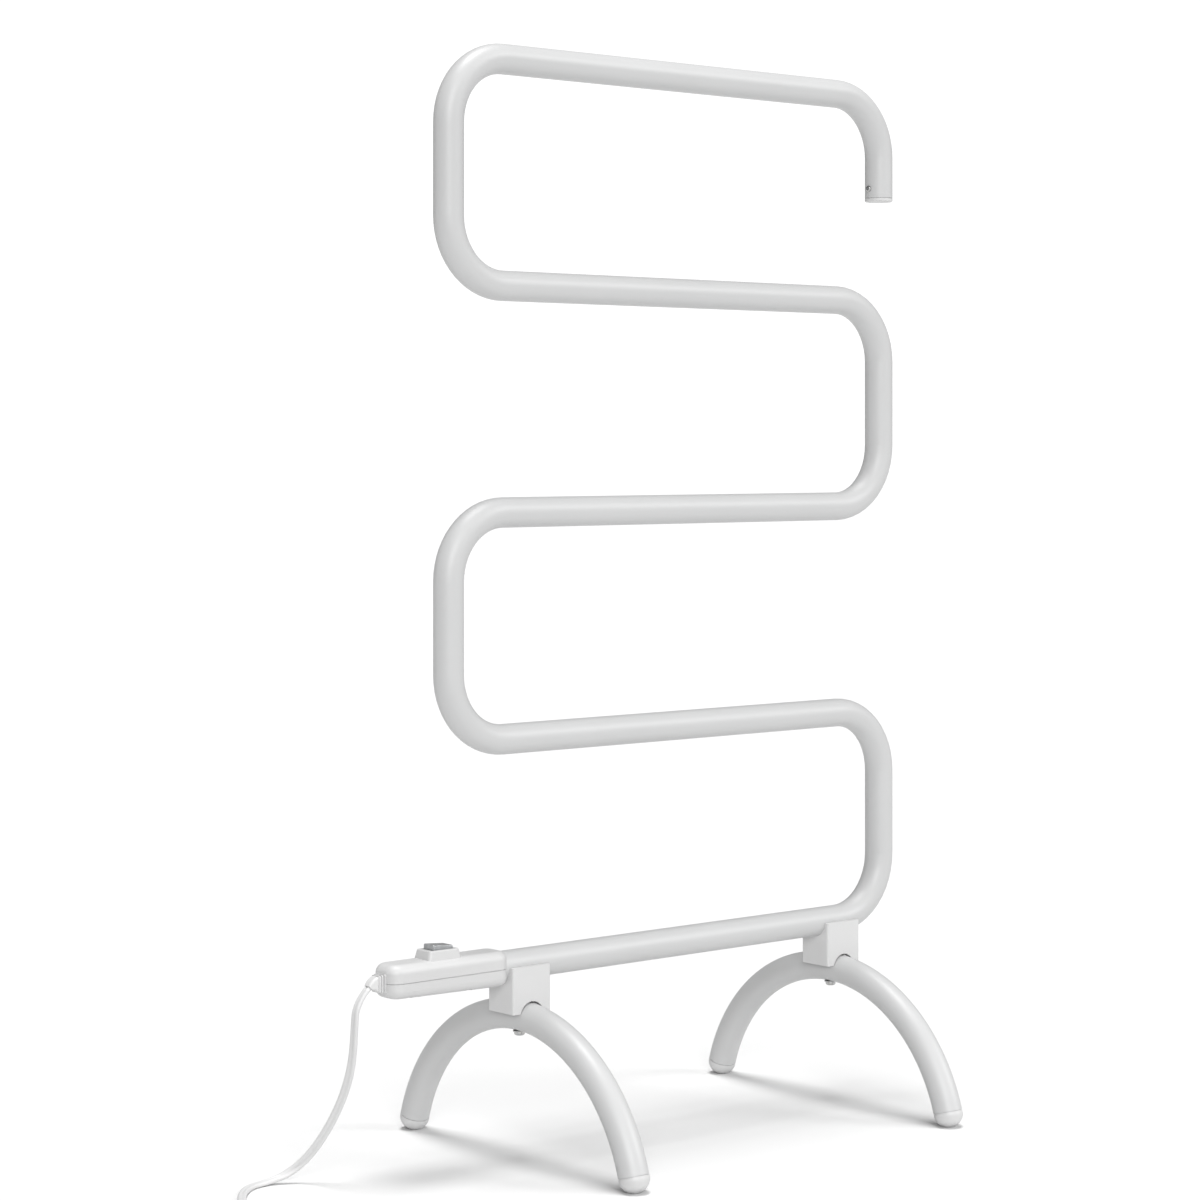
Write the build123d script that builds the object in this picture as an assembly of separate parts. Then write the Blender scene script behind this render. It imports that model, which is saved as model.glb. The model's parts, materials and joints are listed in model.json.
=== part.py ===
from build123d import *
import os
from math import acos, atan, cos, degrees, pi, radians, sin, tan

# Free-standing electric towel warmer: one serpentine heated tube on two arched legs,
# with an in-line control box at the lower left end and a flat two-core supply cord.
# Millimetres. +Z is up, the bars run along X, the origin is on the floor at the middle
# of the rack's footprint. The side with -Y is the front.

# ---- Driving dimensions -------------------------------------------------------------
RACK_HEIGHT = 914.0
RAIL_WIDTH = 494.0          # between the axes of the left and right uprights
BAR_COUNT = 5
LOWEST_BAR_Z = 160.5
TUBE_D = 25.0
TUBE_WALL = 1.2
SEAM_WIDTH = 0.5            # groove where a plug or cap meets a tube's end
SEAM_DEPTH = 0.7
BEND_R = 55.0               # of the tube's axis
FREE_END_DROP = 91.0        # from the top bar's axis down to the cut end

LEG_R = 148.5               # of the arched leg's axis
LEFT_LEG_INSET = 73.5       # from the left upright to the left leg
RIGHT_LEG_INSET = 61.5
BLOCK_LENGTH = 39.6         # saddle block, along the bar
BLOCK_WIDTH = 33.0
BLOCK_WEB = 17.0            # plastic between the bar above and the leg below
BLOCK_SKIRT = 8.5           # how far the block reaches down the leg's crown

BOX_LENGTH = 120.4
BOX_WALL = 2.0
BOX_SIDE_ROOM = 0.8         # between the tube and the side wall
BOX_PLAN_R = 11.0
BOX_EDGE_R = 7.5
BOX_TAPER = 1.8             # how far the underside rises towards the cord
BOX_SEAM_WIDTH = 0.7        # groove round the box, between its two shells
BOX_SEAM_DEPTH = 0.8
TUBE_IN_BOX = 31.5
RELIEF_REACH = 14.5         # strain relief, out of the box's end

CORD_D = 7.0                # the flat cord's width
CORD_T = 3.8

# ---- Clearances ---------------------------------------------------------------------
SEAT = 0.05                 # between a curved face and the face it seats on
SLIP = 0.1                  # round loose-fitting flat pieces
BUTT = 0.3                  # between the control box and the left saddle block
RUNNING = 0.05              # radial, round a pivot pin

# ---- Sizes that follow --------------------------------------------------------------
TUBE_R = TUBE_D / 2
BORE_R = TUBE_R - TUBE_WALL
TOP_Z = RACK_HEIGHT - TUBE_R
BAR_PITCH = (TOP_Z - LOWEST_BAR_Z) / (BAR_COUNT - 1)
CROWN_Z = LOWEST_BAR_Z - TUBE_D - BLOCK_WEB

BOX_REACH = BLOCK_LENGTH / 2 + BUTT + BOX_LENGTH + RELIEF_REACH - LEFT_LEG_INSET
RAIL_X = (BOX_REACH - TUBE_R) / 2
LEFT_X = RAIL_X - RAIL_WIDTH / 2
RIGHT_X = RAIL_X + RAIL_WIDTH / 2
LEG_X = {"left": LEFT_X + LEFT_LEG_INSET, "right": RIGHT_X - RIGHT_LEG_INSET}

BOX_RIGHT = LEG_X["left"] - BLOCK_LENGTH / 2 - BUTT
BOX_LEFT = BOX_RIGHT - BOX_LENGTH
BOX_MID = (BOX_LEFT + BOX_RIGHT) / 2
BOX_HEIGHT = TUBE_D + 2 * BOX_WALL
BOX_WIDTH = TUBE_D + 2 * (BOX_WALL + BOX_SIDE_ROOM)
BOX_TOP = LOWEST_BAR_Z + BOX_HEIGHT / 2
BOX_BOTTOM = LOWEST_BAR_Z - BOX_HEIGHT / 2
ROOF = BOX_TOP - BOX_WALL
FLOOR = BOX_BOTTOM + BOX_WALL
TUBE_END_X = BOX_RIGHT - TUBE_IN_BOX

os.makedirs("parts", exist_ok=True)


def save(name, *solids):
    """Write one node: a single solid, or a group of separate identical ones."""
    shape = solids[0] if len(solids) == 1 else Compound(children=list(solids))
    shape.label = name
    export_step(shape, f"parts/{name}.step")


def rod(start, end, radius):
    """A round bar between two points."""
    axis = Vector(*end) - Vector(*start)
    plane = Plane(origin=start, z_dir=axis)
    return extrude(plane * Circle(radius), axis.length)


def swept(path, section):
    """A section carried along a path from its first point."""
    return sweep(Plane(origin=path @ 0, z_dir=path % 0) * section, path=path)


def tapered(base, top, height, corner):
    """An upright block from one rounded rectangle to another."""
    low = RectangleRounded(base[0], base[1], corner)
    high = Pos(0, 0, height) * RectangleRounded(top[0], top[1], corner)
    return loft([low, high])


def pan_screw(head_r, head_h, shank_r, length):
    """A cross-recessed pan-head screw: the head's seat at z = 0, the shank along +Z."""
    head = Pos(0, 0, -head_h / 2) * Cylinder(head_r, head_h)
    head = fillet(head.edges().group_by(Axis.Z)[0], 0.6 * head_h)
    arm = Pos(0, 0, -head_h) * Box(1.1 * head_r, 0.28 * head_r, head_h)
    head -= arm
    head -= Rot(Z=90) * arm
    shank = Pos(0, 0, length / 2) * Cylinder(shank_r, length)
    return head + chamfer(shank.edges().group_by(Axis.Z)[-1], 0.3 * shank_r)


# ---- Heated rail --------------------------------------------------------------------
def rail_line(drop, end_x):
    """The serpentine axis, from the free end down to the lowest bar's end."""
    points = [(RIGHT_X, 0, TOP_Z - drop)]
    sides = [RIGHT_X, LEFT_X]
    for bar in range(BAR_COUNT):
        z = TOP_Z - bar * BAR_PITCH
        points.append((sides[0], 0, z))
        points.append((sides[1], 0, z))
        sides.reverse()
    points[-1] = (end_x, 0, LOWEST_BAR_Z)
    return FilletPolyline(*points, radius=BEND_R)


NUT_R = 3.5
NUT_IN_TUBE = 8.5
BOLT_R = 2.5
BOLT_HOLE_R = 2.75
PLUG_SCREW_R = 1.5
PLUG_SCREW_HEAD = (2.8, 2.0)
PLUG_SCREW_LENGTH = 10.0
FREE_END_Z = TOP_Z - FREE_END_DROP
PLUG_SCREW_Z = FREE_END_Z + 8.0
LOCK_SCREW_R = 1.4
LOCK_SCREW_HEAD = (2.6, 1.6)
LOCK_SCREW_LENGTH = 7.0
LOCK_SCREW_X = BOX_RIGHT - 12.0


def rail_tube():
    line = rail_line(FREE_END_DROP, TUBE_END_X)
    tube = swept(line, Circle(TUBE_R)) - swept(line, Circle(BORE_R))
    for x in LEG_X.values():
        tube -= rod((x, 0, LOWEST_BAR_Z - TUBE_D), (x, 0, LOWEST_BAR_Z - TUBE_R / 2), NUT_R + SEAT)
    side = RIGHT_X - TUBE_R
    tube -= rod((side - 5, 0, PLUG_SCREW_Z), (side + 5, 0, PLUG_SCREW_Z), PLUG_SCREW_R + SLIP)
    low = LOWEST_BAR_Z - TUBE_R
    tube -= rod((LOCK_SCREW_X, 0, low - 5), (LOCK_SCREW_X, 0, low + 5), LOCK_SCREW_R + SEAT)
    return tube


PLUG_FLANGE = 3.5
PLUG_SPIGOT = 14.0


def rail_end_plug():
    """A push-in plug under the free end, with a recess for the heater's seal."""
    flange = Pos(0, 0, -PLUG_FLANGE / 2) * Cylinder(TUBE_R, PLUG_FLANGE)
    flange = fillet(flange.edges().group_by(Axis.Z)[0], 1.2)
    seam = Cylinder(TUBE_R + 1.0, 2 * SEAM_WIDTH) - Cylinder(TUBE_R - SEAM_DEPTH, 2 * SEAM_WIDTH)
    flange -= seam
    plug = flange + Pos(0, 0, PLUG_SPIGOT / 2) * Cylinder(BORE_R - SLIP, PLUG_SPIGOT)
    plug = Pos(RIGHT_X, 0, FREE_END_Z) * plug
    side = RIGHT_X - TUBE_R
    return plug - rod((side, 0, PLUG_SCREW_Z), (RIGHT_X, 0, PLUG_SCREW_Z), PLUG_SCREW_R + SEAT)


def rail_end_screw():
    place = Pos(RIGHT_X - TUBE_R, 0, PLUG_SCREW_Z) * Rot(Y=90)
    return place * pan_screw(*PLUG_SCREW_HEAD, PLUG_SCREW_R, PLUG_SCREW_LENGTH)


# ---- Heater inside the rail ---------------------------------------------------------
HEATER_R = 2.6
SEAL_R = 4.0
SEAL_LENGTH = 22.0
SEAL_OVERLAP = 8.0          # the cable's end inside its seal
HEATER_DROP = FREE_END_DROP - PLUG_SPIGOT - SEAL_LENGTH + SEAL_OVERLAP
BUSH_LENGTH = 14.0
BUSH_FLANGE = 2.0
BUSH_INSET = 1.0            # of the bush's flange from the tube's outside
HEATER_END_X = TUBE_END_X - BUSH_FLANGE - 1.0


def heating_cable():
    return swept(rail_line(HEATER_DROP, HEATER_END_X), Circle(HEATER_R))


def heater_end_seal():
    """The crimped cap that closes the heating cable's far end."""
    base = TOP_Z - FREE_END_DROP + PLUG_SPIGOT
    seal = rod((RIGHT_X, 0, base), (RIGHT_X, 0, base + SEAL_LENGTH), SEAL_R)
    seal = fillet(seal.edges().group_by(Axis.Z)[0], 1.5)
    low = TOP_Z - HEATER_DROP
    return seal - rod((RIGHT_X, 0, low), (RIGHT_X, 0, base + SEAL_LENGTH), HEATER_R)


def heater_bush():
    """The soft bush that holds the heating cable in the tube's mouth."""
    mouth = (TUBE_END_X, 0, LOWEST_BAR_Z)
    deep = (TUBE_END_X + BUSH_LENGTH, 0, LOWEST_BAR_Z)
    outer = (TUBE_END_X - BUSH_FLANGE, 0, LOWEST_BAR_Z)
    bush = rod(mouth, deep, BORE_R - SEAT) + rod(outer, mouth, TUBE_R - BUSH_INSET)
    return bush - rod(outer, deep, HEATER_R)


# ---- Legs ---------------------------------------------------------------------------
CAP_COLLAR = 2.0
CAP_DOME = 11.3
CAP_TRIM = 0.8              # how much of the dome the floor plane takes off
CAP_SPIGOT = 8.0
CAP_SLIP = 0.3              # radial, between the spigot and the leg's bore
LEG_CENTRE_Z = CROWN_Z - LEG_R
LEG_END_Z = CAP_COLLAR + CAP_DOME - CAP_TRIM
LEG_SPAN = degrees(acos((LEG_END_Z - LEG_CENTRE_Z) / LEG_R))
BOLT_HEAD = (4.5, 3.0)
WASHER_R = 5.5
WASHER_H = 1.0
WASHER_GAP = 0.15           # under the leg's crown, which curves away from the washer
BOLT_SEAT_Z = CROWN_Z - TUBE_R - WASHER_GAP
ARCH_RELIEF = 0.9           # gap over the leg at the block's two arched faces
ARCH_DEPTH = 5.0
BLOCK_CORNER = 2.0
NUT_FLANGE_R = NUT_R + 1.0
NUT_FLANGE_T = 1.0
NUT_ROOM = 0.5              # round the nut's flange, in the block


def leg_point(x, angle):
    """The place on a leg's axis at an angle from its crown, with local Y along the arc."""
    return Pos(x, 0, LEG_CENTRE_Z) * Rot(X=angle) * Pos(0, 0, LEG_R)


def leg_tube(x):
    ring = Circle(TUBE_R) - Circle(BORE_R)
    start = leg_point(x, LEG_SPAN) * Rot(X=90) * ring
    axis = Axis((x, 0, LEG_CENTRE_Z), (1, 0, 0))
    tube = revolve(start, axis=axis, revolution_arc=-2 * LEG_SPAN)
    return tube - rod((x, 0, CROWN_Z - TUBE_D), (x, 0, CROWN_Z + TUBE_D), BOLT_HOLE_R)


def foot_cap(x, side):
    """A domed cap on the leg's end, trimmed flat where it stands. side is 1 in front."""
    profile = Polyline(
        (0, -CAP_SPIGOT),
        (BORE_R - CAP_SLIP, -CAP_SPIGOT),
        (BORE_R - CAP_SLIP, 0),
        (TUBE_R - SEAM_DEPTH, 0),
        (TUBE_R - SEAM_DEPTH, SEAM_WIDTH),
        (TUBE_R, SEAM_WIDTH),
        (TUBE_R, CAP_COLLAR),
    )
    dome = EllipticalCenterArc((0, CAP_COLLAR), TUBE_R, CAP_DOME, start_angle=0, arc_size=90)
    closing = Line((0, CAP_COLLAR + CAP_DOME), (0, -CAP_SPIGOT))
    face = Plane.XZ * make_face(profile + dome + closing)
    cap = leg_point(x, side * LEG_SPAN) * Rot(X=side * 90) * revolve(face, axis=Axis.Z)
    return cap - Pos(x, -side * LEG_R, -TUBE_D) * Box(4 * TUBE_D, 2 * LEG_R, 2 * TUBE_D)


def saddle_block(x):
    """The plastic block that the bar lies in and that sits on the leg's crown."""
    low = CROWN_Z + TUBE_R - BLOCK_SKIRT
    height = LOWEST_BAR_Z - low
    block = Pos(x, 0, low + height / 2) * Box(BLOCK_LENGTH, BLOCK_WIDTH, height)
    block = fillet(block.edges().filter_by(Axis.Z), BLOCK_CORNER)
    cut = BLOCK_LENGTH
    block -= rod((x - cut, 0, LOWEST_BAR_Z), (x + cut, 0, LOWEST_BAR_Z), TUBE_R + SEAT)
    block -= rod((x, -cut, CROWN_Z), (x, cut, CROWN_Z), TUBE_R + SEAT)
    for side in (-1, 1):
        face = (x, side * BLOCK_WIDTH / 2, CROWN_Z + ARCH_RELIEF)
        deep = (x, side * (BLOCK_WIDTH / 2 - ARCH_DEPTH), CROWN_Z + ARCH_RELIEF)
        block -= rod(face, deep, TUBE_R + SEAT)
    return block - rod((x, 0, low), (x, 0, LOWEST_BAR_Z), NUT_FLANGE_R + NUT_ROOM)


def leg_bolt(x):
    top = LOWEST_BAR_Z - TUBE_R + NUT_IN_TUBE
    place = Pos(x, 0, BOLT_SEAT_Z - WASHER_H)
    return place * pan_screw(*BOLT_HEAD, BOLT_R, top - BOLT_SEAT_Z)


def leg_washer(x):
    ring = Cylinder(WASHER_R, WASHER_H) - Cylinder(BOLT_R + SLIP, WASHER_H)
    return Pos(x, 0, BOLT_SEAT_Z - WASHER_H / 2) * ring


def rivet_nut(x):
    """A threaded insert set into the underside of the lowest bar."""
    seat = LOWEST_BAR_Z - TUBE_R
    nut = rod((x, 0, seat), (x, 0, seat + NUT_IN_TUBE), NUT_R)
    nut += rod((x, 0, seat - NUT_FLANGE_T), (x, 0, seat), NUT_FLANGE_R)
    return nut - rod((x, 0, seat - NUT_FLANGE_T), (x, 0, seat + NUT_IN_TUBE), BOLT_R + SEAT)


# ---- Control box --------------------------------------------------------------------
SWITCH_X = BOX_LEFT + 56.0
HUMP_BASE = (35.0, 23.0)
HUMP_TOP = (29.5, 19.6)
HUMP_H = 7.0
HUMP_ROOT = 4.0             # how far the hump's sides go on below the roof
HUMP_CORNER = 3.0
HUMP_ROOM_BASE = (29.0, 17.0)
HUMP_ROOM_TOP = (24.5, 15.0)
HUMP_ROOM_ROOT = 3.0
HUMP_ROOM_CORNER = 1.5
HUMP_Z = BOX_TOP + HUMP_H
ROCKER_SIZE = (20.2, 13.6)
ROCKER_GAP = 0.7
PIVOT_Z = HUMP_Z - 5.5

SCREW_R = 1.4
SCREW_HEAD_R = 2.6
SCREW_HEAD_H = 1.8
SCREW_SEAT = 6.0            # depth of the screw wells in the underside
SCREW_LENGTH = 16.0
SCREW_HOLE = 8.0            # depth of the pilot holes over the joint
WELL_SLIP = 0.3             # radial, round a screw's head in its well
BOSS_R = 3.4
BOSS_PLACES = [
    (x, side * (BOX_WIDTH / 2 - BOX_WALL - BOSS_R - 0.3))
    for x in (BOX_LEFT + 20.0, TUBE_END_X - 9.0)
    for side in (-1, 1)
]
CLAMP_X = BOX_LEFT + 30.5
CLAMP_SIZE = (7.0, 21.0, 3.0)
CLAMP_SCREW_Y = 7.5
CLAMP_SCREW_R = 1.0
CLAMP_SCREW_HEAD = (1.9, 1.3)
CLAMP_SCREW_LENGTH = 9.0
CLAMP_POST_R = 2.6
CLAMP_HOLE = 8.0            # depth of the clamp screws' holes in their posts
RELIEF_W = 12.0
RELIEF_H = 15.0
RELIEF_FLANGE = 2.0
FLANGE_SIZE = (15.0, 18.0)
LIP_T = 1.0
LIP_H = 1.5
RIB_T = 2.0
RIB_INSET = 6.0
TUBE_RIBS = [TUBE_END_X + RIB_INSET, BOX_RIGHT - RIB_INSET]
CORD_Z = LOWEST_BAR_Z


def box_block(shrink):
    """The box's outer form, or its cavity when it is shrunk by the wall."""
    size = (BOX_LENGTH - 2 * shrink, BOX_WIDTH - 2 * shrink, BOX_HEIGHT - 2 * shrink)
    form = extrude(RectangleRounded(size[0], size[1], BOX_PLAN_R - shrink), size[2] / 2, both=True)
    slope = degrees(atan(BOX_TAPER / BOX_LENGTH))
    below = Pos(-BOX_LENGTH / 2, 0, -BOX_HEIGHT / 2) * Box(2 * BOX_LENGTH, BOX_LENGTH, BOX_HEIGHT)
    form -= Pos(BOX_LENGTH / 2, 0, shrink - BOX_HEIGHT / 2) * Rot(Y=slope) * below
    form = fillet(form.faces().sort_by(Axis.Z)[0].edges(), BOX_EDGE_R - shrink)
    form = fillet(form.faces().sort_by(Axis.Z)[-1].edges(), BOX_EDGE_R - shrink)
    return Pos(BOX_MID, 0, LOWEST_BAR_Z) * form


def box_underside(x):
    """The height of the box's sloping underside."""
    return BOX_BOTTOM + BOX_TAPER * (BOX_RIGHT - x) / BOX_LENGTH


def box_band(inset_out, inset_in, low, high):
    """A ring that follows the box's wall in plan, between two insets and two heights."""
    outer = RectangleRounded(
        BOX_LENGTH - 2 * inset_out, BOX_WIDTH - 2 * inset_out, BOX_PLAN_R - inset_out
    )
    inner = RectangleRounded(
        BOX_LENGTH - 2 * inset_in, BOX_WIDTH - 2 * inset_in, BOX_PLAN_R - inset_in
    )
    return Pos(BOX_MID, 0, LOWEST_BAR_Z + low) * extrude(outer - inner, high - low)


def box_half(upper):
    """Keep one side of the joint between the two shells."""
    reach = BOX_LENGTH
    side = 1 if upper else -1
    return Pos(BOX_MID, 0, LOWEST_BAR_Z + side * reach / 2) * Box(2 * reach, reach, reach)


def box_openings():
    """What both shells leave open: the tube's mouth, the relief's notch, the seam."""
    mouth = rod((TUBE_END_X, 0, LOWEST_BAR_Z), (BOX_RIGHT + 1, 0, LOWEST_BAR_Z), TUBE_R + SEAT)
    notch = Pos(BOX_LEFT, 0, CORD_Z) * Box(
        4 * BOX_WALL, RELIEF_W + 2 * SLIP, RELIEF_H + 2 * SLIP
    )
    flange = Pos(BOX_LEFT + BOX_WALL + RELIEF_FLANGE / 2, 0, CORD_Z) * Box(
        RELIEF_FLANGE + 4 * SLIP, FLANGE_SIZE[0] + 2 * SLIP, FLANGE_SIZE[1] + 2 * SLIP
    )
    seam = box_band(-1.0, BOX_SEAM_DEPTH, -BOX_SEAM_WIDTH / 2, BOX_SEAM_WIDTH / 2)
    return [mouth, notch, flange, seam]


def tube_rib(x, upper):
    """A rib across the box that holds the tube."""
    rib = Pos(x, 0, LOWEST_BAR_Z) * Box(RIB_T, BOX_WIDTH - BOX_WALL, BOX_HEIGHT - BOX_WALL)
    return rib & box_half(upper)


def switch_hump():
    """The raised seat on the box's roof that the rocker looks out of."""
    form = tapered(HUMP_BASE, HUMP_TOP, HUMP_H + HUMP_ROOT, HUMP_CORNER)
    hump = Pos(SWITCH_X, 0, BOX_TOP - HUMP_ROOT) * form
    return fillet(hump.faces().sort_by(Axis.Z)[-1].edges(), 1.0)


def box_upper_shell():
    shell = box_block(0) + switch_hump()
    shell -= box_block(BOX_WALL)
    height = HUMP_H + HUMP_ROOM_ROOT
    room = tapered(HUMP_ROOM_BASE, HUMP_ROOM_TOP, height, HUMP_ROOM_CORNER)
    shell -= Pos(SWITCH_X, 0, ROOF - HUMP_ROOM_ROOT) * room
    window = (ROCKER_SIZE[0] + 2 * ROCKER_GAP, ROCKER_SIZE[1] + 2 * ROCKER_GAP)
    shell -= Pos(SWITCH_X, 0, HUMP_Z) * Box(*window, 2 * HUMP_ROOT)
    for x in TUBE_RIBS:
        shell += tube_rib(x, True) & box_block(BOX_WALL / 2)
    for x, y in BOSS_PLACES:
        shell += rod((x, y, LOWEST_BAR_Z), (x, y, BOX_TOP - 1.0), BOSS_R) & box_block(1.0)
    shell &= box_half(True)
    shell -= box_band(BOX_WALL, BOX_WALL + LIP_T + SLIP, -SLIP, LIP_H + SLIP)
    for opening in box_openings():
        shell -= opening
    for x, y in BOSS_PLACES:
        shell -= rod((x, y, LOWEST_BAR_Z), (x, y, LOWEST_BAR_Z + SCREW_HOLE), SCREW_R + SEAT)
    return shell


def box_lower_shell():
    shell = box_block(0) - box_block(BOX_WALL)
    for x in TUBE_RIBS:
        shell += tube_rib(x, False) & box_block(BOX_WALL / 2)
    rest = LOWEST_BAR_Z - CORD_T / 2 - FLOOR
    shell += Pos(CLAMP_X, 0, FLOOR + rest / 2) * Box(CLAMP_SIZE[0], CORD_D + 2, rest)
    for side in (-1, 1):
        post = (CLAMP_X, side * CLAMP_SCREW_Y, FLOOR - 0.5)
        shell += rod(post, (CLAMP_X, side * CLAMP_SCREW_Y, LOWEST_BAR_Z + CORD_T / 2), CLAMP_POST_R)
    for x, y in BOSS_PLACES:
        shell += rod((x, y, BOX_BOTTOM + 1.0), (x, y, LOWEST_BAR_Z), BOSS_R) & box_block(1.0)
    shell &= box_half(False) + box_lip_room()
    shell += box_band(BOX_WALL - 0.5, BOX_WALL + LIP_T, -2 * LIP_H, 0.0)
    shell += box_band(BOX_WALL + SLIP, BOX_WALL + LIP_T, -LIP_H, LIP_H)
    for opening in box_openings():
        shell -= opening
    for x, y in BOSS_PLACES:
        well_r = SCREW_HEAD_R + WELL_SLIP
        shell -= rod((x, y, BOX_BOTTOM - 1), (x, y, BOX_BOTTOM + SCREW_SEAT), well_r)
        shell -= rod((x, y, BOX_BOTTOM), (x, y, LOWEST_BAR_Z), SCREW_R + SLIP)
    shell -= rod((LOCK_SCREW_X, 0, BOX_BOTTOM - 1), (LOCK_SCREW_X, 0, FLOOR + 1), LOCK_SCREW_R + SLIP)
    for side in (-1, 1):
        top = LOWEST_BAR_Z + CORD_T / 2
        post = (CLAMP_X, side * CLAMP_SCREW_Y, top - CLAMP_HOLE)
        shell -= rod(post, (CLAMP_X, side * CLAMP_SCREW_Y, top), CLAMP_SCREW_R + SEAT)
    return shell


def box_lip_room():
    """The clamp's posts stand above the joint, so they are kept as well."""
    return Pos(CLAMP_X, 0, LOWEST_BAR_Z + CORD_T / 4) * Box(
        2 * CLAMP_SIZE[0], CLAMP_SIZE[1], CORD_T / 2
    )


def box_screw(x, y):
    place = Pos(x, y, BOX_BOTTOM + SCREW_SEAT)
    return place * pan_screw(SCREW_HEAD_R, SCREW_HEAD_H, SCREW_R, SCREW_LENGTH)


def tube_lock_screw():
    """Stops the box from turning on the tube. Its head seats where the slope is lowest."""
    place = Pos(LOCK_SCREW_X, 0, box_underside(LOCK_SCREW_X + LOCK_SCREW_HEAD[0]))
    return place * pan_screw(*LOCK_SCREW_HEAD, LOCK_SCREW_R, LOCK_SCREW_LENGTH)


# ---- Rocker switch ------------------------------------------------------------------
# Places are relative to the rocker's pivot, with the rocker level. At rest the rocker
# leans down to the right and the contact lever under it leans the other way.
ROCKER_LEAN = 4.5
LEVER_LEAN = 6.0
ROCKER_TOP = 8.9
ROCKER_STEP = 4.6           # underside of the wide part
SKIRT_SIZE = (16.5, 11.3)
SKIRT_FOOT = -2.0
PIN_R = 1.1
HOUSING_SIZE = (23.6, 14.4)
HOUSING_ROOM = (21.0, 11.9)
HOUSING_FLOOR = -11.7
HOUSING_BASE = 2.0
FULCRUM = -9.8
FULCRUM_R = 0.5
LEVER_SIZE = (12.4, 3.0, 0.6)
PLUNGER_R = 1.25
PLUNGER_TIP = -8.6
PLUNGER_TOP = -0.5
SPRING_WIRE_R = 0.15
SPRING_TURNS = 6
STEM_R = 2.0
STEM_FOOT = -3.5
STEM_BORE_TOP = 5.5
CONTACT_R = 1.1
CONTACT_X = 5.2
BLADE_SIZE = (0.8, 4.8)
BLADE_END = -20.0
BLADE_X = (-8.2, 0.0, 8.2)
STRIP_TOP = -10.9
LAMP_R = 1.4
LAMP_PLACE = (-4.7, 3.2)
LAMP_LOW = -7.0
LAMP_HIGH = 4.8
SWITCH_AT = Pos(SWITCH_X, 0, PIVOT_Z)
ROCKER_AT = SWITCH_AT * Rot(Y=ROCKER_LEAN)


def span(size_x, size_y, low, high, x=0, y=0):
    """A block between two heights."""
    return Pos(x, y, (low + high) / 2) * Box(size_x, size_y, high - low)


def switch_rocker():
    """The clear lens cap: hollow, with two pivot pins and a stem for the plunger."""
    top = span(*ROCKER_SIZE, ROCKER_STEP, ROCKER_TOP)
    top = fillet(top.edges().filter_by(Axis.Z), 1.2)
    top = fillet(top.faces().sort_by(Axis.Z)[-1].edges(), 0.8)
    rocker = top + span(*SKIRT_SIZE, SKIRT_FOOT, ROCKER_STEP)
    rocker -= span(SKIRT_SIZE[0] - 1.6, SKIRT_SIZE[1] - 1.6, SKIRT_FOOT, ROCKER_TOP - 1.5)
    rocker += rod((0, 0, STEM_FOOT), (0, 0, ROCKER_TOP - 1.0), STEM_R)
    rocker -= rod((0, 0, STEM_FOOT), (0, 0, STEM_BORE_TOP), PLUNGER_R + SLIP)
    for side in (-1, 1):
        edge = side * SKIRT_SIZE[1] / 2
        rocker += rod((0, edge - side * 0.4, 0), (0, edge + side * 1.2, 0), PIN_R)
    return ROCKER_AT * rocker


def rocker_plunger():
    pin = rod((0, 0, PLUNGER_TIP), (0, 0, PLUNGER_TOP), PLUNGER_R)
    return ROCKER_AT * fillet(pin.edges().group_by(Axis.Z)[0], 0.9 * PLUNGER_R)


def rocker_spring():
    """The light coil spring above the plunger, in the rocker's stem."""
    coil_r = PLUNGER_R - SLIP - SPRING_WIRE_R
    height = STEM_BORE_TOP - PLUNGER_TOP - 2 * (SPRING_WIRE_R + SEAT)
    helix = Helix(pitch=height / SPRING_TURNS, height=height, radius=coil_r)
    seat = Pos(0, 0, PLUNGER_TOP + SPRING_WIRE_R + SEAT)
    return ROCKER_AT * seat * swept(helix, Circle(SPRING_WIRE_R))


def switch_housing():
    """The open-topped body that carries the rocker's pivot and the terminals."""
    rim = HUMP_Z - BOX_WALL - PIVOT_Z
    base = HOUSING_FLOOR - HOUSING_BASE
    housing = span(*HOUSING_SIZE, base, rim)
    housing = fillet(housing.edges().filter_by(Axis.Z), 1.5)
    housing -= span(*HOUSING_ROOM, HOUSING_FLOOR, rim)
    housing -= rod((0, -HOUSING_SIZE[1], 0), (0, HOUSING_SIZE[1], 0), PIN_R + RUNNING)
    for x in BLADE_X:
        housing -= span(BLADE_SIZE[0] + SLIP, BLADE_SIZE[1] + SLIP, base, HOUSING_FLOOR, x=x)
    return SWITCH_AT * housing


def contact_lever():
    """The see-saw strip with the moving contact under its right end."""
    low = 0.2
    lever = span(*LEVER_SIZE[:2], low, low + LEVER_SIZE[2])
    lever += rod((CONTACT_X, 0, low - 0.5), (CONTACT_X, 0, low), CONTACT_R)
    lever -= rod((0, -5, 0), (0, 5, 0), FULCRUM_R + RUNNING)
    return SWITCH_AT * Pos(0, 0, FULCRUM) * Rot(Y=-LEVER_LEAN) * lever


def switch_terminals():
    """The line, load and lamp terminals, whose blades hang below the housing."""
    blades = [
        span(BLADE_SIZE[0], BLADE_SIZE[1], BLADE_END, HOUSING_FLOOR, x=x) for x in BLADE_X
    ]
    lamp, line, load = blades
    lamp += span(2.5, 3.0, HOUSING_FLOOR, STRIP_TOP, x=BLADE_X[0])
    line += span(1.0, 3.0, HOUSING_FLOOR, FULCRUM)
    line += rod((0, -1.5, FULCRUM), (0, 1.5, FULCRUM), FULCRUM_R)
    load += span(6.1, 3.0, HOUSING_FLOOR, STRIP_TOP, x=CONTACT_X + 1.25)
    return [SWITCH_AT * blade for blade in (lamp, line, load)]


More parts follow.
